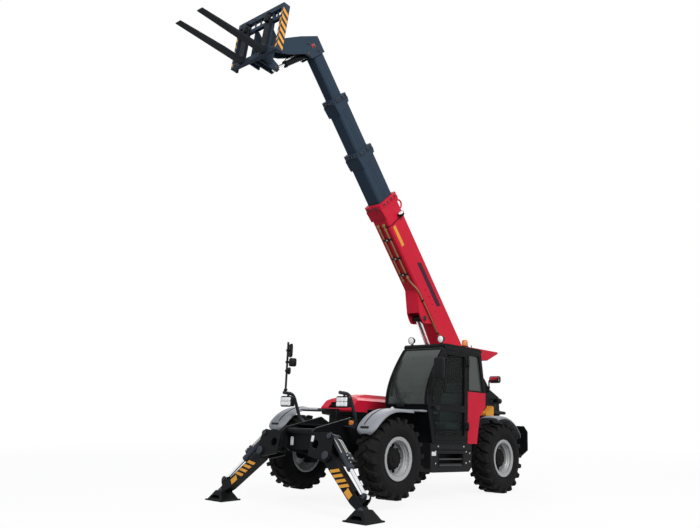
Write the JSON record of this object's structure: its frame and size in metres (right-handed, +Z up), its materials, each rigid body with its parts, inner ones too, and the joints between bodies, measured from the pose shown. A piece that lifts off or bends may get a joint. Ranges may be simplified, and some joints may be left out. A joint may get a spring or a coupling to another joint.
{
  "type": "telehandler",
  "caption": "Telescopic handler with a raised sectioned boom, pallet forks on a tilting carriage, a side cab, a low engine bay, steered wheels with lugged tyres and front stabilisers.",
  "frame": {"origin": "middle of the bounding box at ground level", "axes": "+X forward, +Y to the machine's left, +Z up"},
  "size_m": [7.915, 3.5414, 7.8103],
  "materials": {
    "frame_black": "satin black paint",
    "ram_black": "gloss black paint",
    "boom_red": "gloss red paint",
    "panel_red": "gloss red moulding",
    "boom_slate": "semi-gloss slate paint",
    "rod_chrome": "hard chrome",
    "fender_grey": "grey moulding",
    "black_plastic": "black moulding",
    "seat_fabric": "dark cloth",
    "glass": "clear tinted",
    "lamp_white": "clear lens",
    "lamp_amber": "amber lens",
    "lamp_red": "red lens",
    "engine_iron": "dark cast",
    "rim_silver": "silver paint",
    "rubber": "matte rubber"
  },
  "bodies": {
    "chassis": {"chassis_frame": "frame_black", "frame_plate_l": "frame_black", "frame_plate_r": "frame_black", "front_axle": "frame_black", "rear_axle": "frame_black", "counterweight": "frame_black", "stabiliser_beam": "frame_black", "engine_bay": "frame_black", "engine_block": "engine_iron", "step_tank": "black_plastic", "front_fenders": "fender_grey", "rear_fenders": "fender_grey", "cab_shell": "frame_black", "cab_roof": "black_plastic", "roof_cowl": "panel_red", "quarter_panel": "panel_red", "cab_glass": "glass", "seat": "seat_fabric", "console": "black_plastic", "headlamps": "black_plastic", "lamp_guards": "frame_black", "mirrors": "black_plastic", "roof_lamps": "lamp_white", "beacon": "lamp_amber", "rear_lamps": "lamp_red"},
    "engine_lid": {"engine_lid": "panel_red"},
    "door": {"door": "frame_black", "door_glass": "glass"},
    "boom_outer": {"boom_outer": "boom_red"},
    "boom_second": {"boom_second": "boom_slate"},
    "boom_third": {"boom_third": "boom_slate"},
    "boom_tip": {"boom_tip": "boom_slate"},
    "lift_barrel": {"lift_barrel": "ram_black"},
    "lift_rod": {"lift_rod": "rod_chrome"},
    "tilt_barrel": {"tilt_barrel": "ram_black"},
    "tilt_rod": {"tilt_rod": "rod_chrome"},
    "carriage": {"carriage": "boom_slate", "forks": "frame_black"},
    "stab_leg_l": {"stab_leg_l": "frame_black"},
    "stab_leg_r": {"stab_leg_r": "frame_black"},
    "stab_barrel_l": {"stab_barrel_l": "ram_black"},
    "stab_barrel_r": {"stab_barrel_r": "ram_black"},
    "stab_rod_l": {"stab_rod_l": "rod_chrome"},
    "stab_rod_r": {"stab_rod_r": "rod_chrome"},
    "knuckle_fl": {"knuckle_fl": "frame_black"},
    "knuckle_fr": {"knuckle_fr": "frame_black"},
    "knuckle_rl": {"knuckle_rl": "frame_black"},
    "knuckle_rr": {"knuckle_rr": "frame_black"},
    "wheel_fl": {"rim_fl": "rim_silver", "tyre_fl": "rubber"},
    "wheel_fr": {"rim_fr": "rim_silver", "tyre_fr": "rubber"},
    "wheel_rl": {"rim_rl": "rim_silver", "tyre_rl": "rubber"},
    "wheel_rr": {"rim_rr": "rim_silver", "tyre_rr": "rubber"}
  },
  "joints": [
    {"name": "steer_fl", "type": "hinge", "parent": "chassis", "child": "knuckle_fl", "pos_m": [0.50413, 0.81, 0.75935], "axis": [-0.0436, 0, 0.999], "range_deg": [-30, 30]},
    {"name": "wheel_fl", "type": "hinge", "parent": "knuckle_fl", "child": "wheel_fl", "pos_m": [0.50413, 1.015, 0.75935], "axis": [0, 1, 0], "continuous": true},
    {"name": "steer_fr", "type": "hinge", "parent": "chassis", "child": "knuckle_fr", "pos_m": [0.50413, -0.81, 0.75935], "axis": [-0.0436, 0, 0.999], "range_deg": [-30, 30]},
    {"name": "wheel_fr", "type": "hinge", "parent": "knuckle_fr", "child": "wheel_fr", "pos_m": [0.50413, -1.015, 0.75935], "axis": [0, 1, 0], "continuous": true},
    {"name": "steer_rl", "type": "hinge", "parent": "chassis", "child": "knuckle_rl", "pos_m": [-2.57294, 0.81, 0.625], "axis": [-0.0436, 0, 0.999], "range_deg": [-30, 30]},
    {"name": "wheel_rl", "type": "hinge", "parent": "knuckle_rl", "child": "wheel_rl", "pos_m": [-2.57294, 1.015, 0.625], "axis": [0, 1, 0], "continuous": true},
    {"name": "steer_rr", "type": "hinge", "parent": "chassis", "child": "knuckle_rr", "pos_m": [-2.57294, -0.81, 0.625], "axis": [-0.0436, 0, 0.999], "range_deg": [-30, 30]},
    {"name": "wheel_rr", "type": "hinge", "parent": "knuckle_rr", "child": "wheel_rr", "pos_m": [-2.57294, -1.015, 0.625], "axis": [0, 1, 0], "continuous": true},
    {"name": "boom_lift", "type": "hinge", "parent": "chassis", "child": "boom_outer", "pos_m": [-3.05252, 0.035, 1.98037], "axis": [0, -1, 0], "range_deg": [-51.8, 21.2]},
    {"name": "extend_second", "type": "slide", "parent": "boom_outer", "child": "boom_second", "axis": [0.6252, 0, 0.7804], "range_m": [-0.62, 3.2]},
    {"name": "extend_third", "type": "slide", "parent": "boom_second", "child": "boom_third", "axis": [0.6252, 0, 0.7804], "range_m": [-0.62, 3.2]},
    {"name": "extend_tip", "type": "slide", "parent": "boom_third", "child": "boom_tip", "axis": [0.6252, 0, 0.7804], "range_m": [-0.62, 3.2]},
    {"name": "carriage_tilt", "type": "hinge", "parent": "boom_tip", "child": "carriage", "pos_m": [2.29702, 0.035, 7.26623], "axis": [0, 1, 0], "range_deg": [-53, 38]},
    {"name": "lift_barrel_pivot", "type": "hinge", "parent": "chassis", "child": "lift_barrel", "pos_m": [-2.7457, 0.035, 1.14296], "axis": [0, -1, 0], "range_deg": [-44, 18.6]},
    {"name": "lift_rod_slide", "type": "slide", "parent": "lift_barrel", "child": "lift_rod", "axis": [0.5101, 0, 0.8601], "range_m": [-0.688, 0.288]},
    {"name": "tilt_barrel_pivot", "type": "hinge", "parent": "boom_tip", "child": "tilt_barrel", "pos_m": [1.60995, 0.035, 7.40664], "axis": [0, -1, 0], "range_deg": [-10.1, 13.7]},
    {"name": "tilt_rod_slide", "type": "slide", "parent": "tilt_barrel", "child": "tilt_rod", "axis": [0.8154, 0, -0.5789], "range_m": [-0.174, 0.239]},
    {"name": "stabiliser_l", "type": "hinge", "parent": "chassis", "child": "stab_leg_l", "pos_m": [1.54292, 0.735, 0.80971], "axis": [0.9681, 0, 0.2504], "range_deg": [-12, 100]},
    {"name": "stab_barrel_pivot_l", "type": "hinge", "parent": "chassis", "child": "stab_barrel_l", "pos_m": [1.47156, 0.735, 1.08563], "axis": [0.9681, 0, 0.2504], "range_deg": [-13.5, 104.8]},
    {"name": "stab_rod_slide_l", "type": "slide", "parent": "stab_barrel_l", "child": "stab_rod_l", "axis": [0.1736, 0.7205, -0.6713], "range_m": [-0.443, 0.062]},
    {"name": "stabiliser_r", "type": "hinge", "parent": "chassis", "child": "stab_leg_r", "pos_m": [1.54292, -0.735, 0.80971], "axis": [-0.9681, 0, -0.2504], "range_deg": [-12, 100]},
    {"name": "stab_barrel_pivot_r", "type": "hinge", "parent": "chassis", "child": "stab_barrel_r", "pos_m": [1.47156, -0.735, 1.08563], "axis": [-0.9681, 0, -0.2504], "range_deg": [-13.5, 104.8]},
    {"name": "stab_rod_slide_r", "type": "slide", "parent": "stab_barrel_r", "child": "stab_rod_r", "axis": [0.1736, -0.7205, -0.6713], "range_m": [-0.443, 0.062]},
    {"name": "door_hinge", "type": "hinge", "parent": "chassis", "child": "door", "pos_m": [-1.46057, 1.182, 1.6495], "axis": [-0.0436, 0, 0.999], "range_deg": [0, 95]},
    {"name": "lid_hinge", "type": "hinge", "parent": "chassis", "child": "engine_lid", "pos_m": [-1.72158, -0.7, 1.39187], "axis": [0, -1, 0], "range_deg": [0, 55]}
  ],
  "couplings": [
    {"joint": "steer_fr", "follows": "steer_fl", "ratio": 1},
    {"joint": "steer_rr", "follows": "steer_rl", "ratio": 1},
    {"joint": "extend_third", "follows": "extend_second", "ratio": 1},
    {"joint": "extend_tip", "follows": "extend_second", "ratio": 1},
    {"joint": "lift_barrel_pivot", "follows": "boom_lift", "ratio": 0.83},
    {"joint": "lift_rod_slide", "follows": "boom_lift", "m_per_rad": 0.75},
    {"joint": "tilt_barrel_pivot", "follows": "carriage_tilt", "ratio": -0.23871},
    {"joint": "tilt_rod_slide", "follows": "carriage_tilt", "m_per_rad": -0.24745},
    {"joint": "stab_barrel_pivot_l", "follows": "stabiliser_l", "ratio": 1.0377},
    {"joint": "stab_rod_slide_l", "follows": "stabiliser_l", "m_per_rad": -0.24789},
    {"joint": "stab_barrel_pivot_r", "follows": "stabiliser_r", "ratio": 1.0377},
    {"joint": "stab_rod_slide_r", "follows": "stabiliser_r", "m_per_rad": -0.24789}
  ]
}
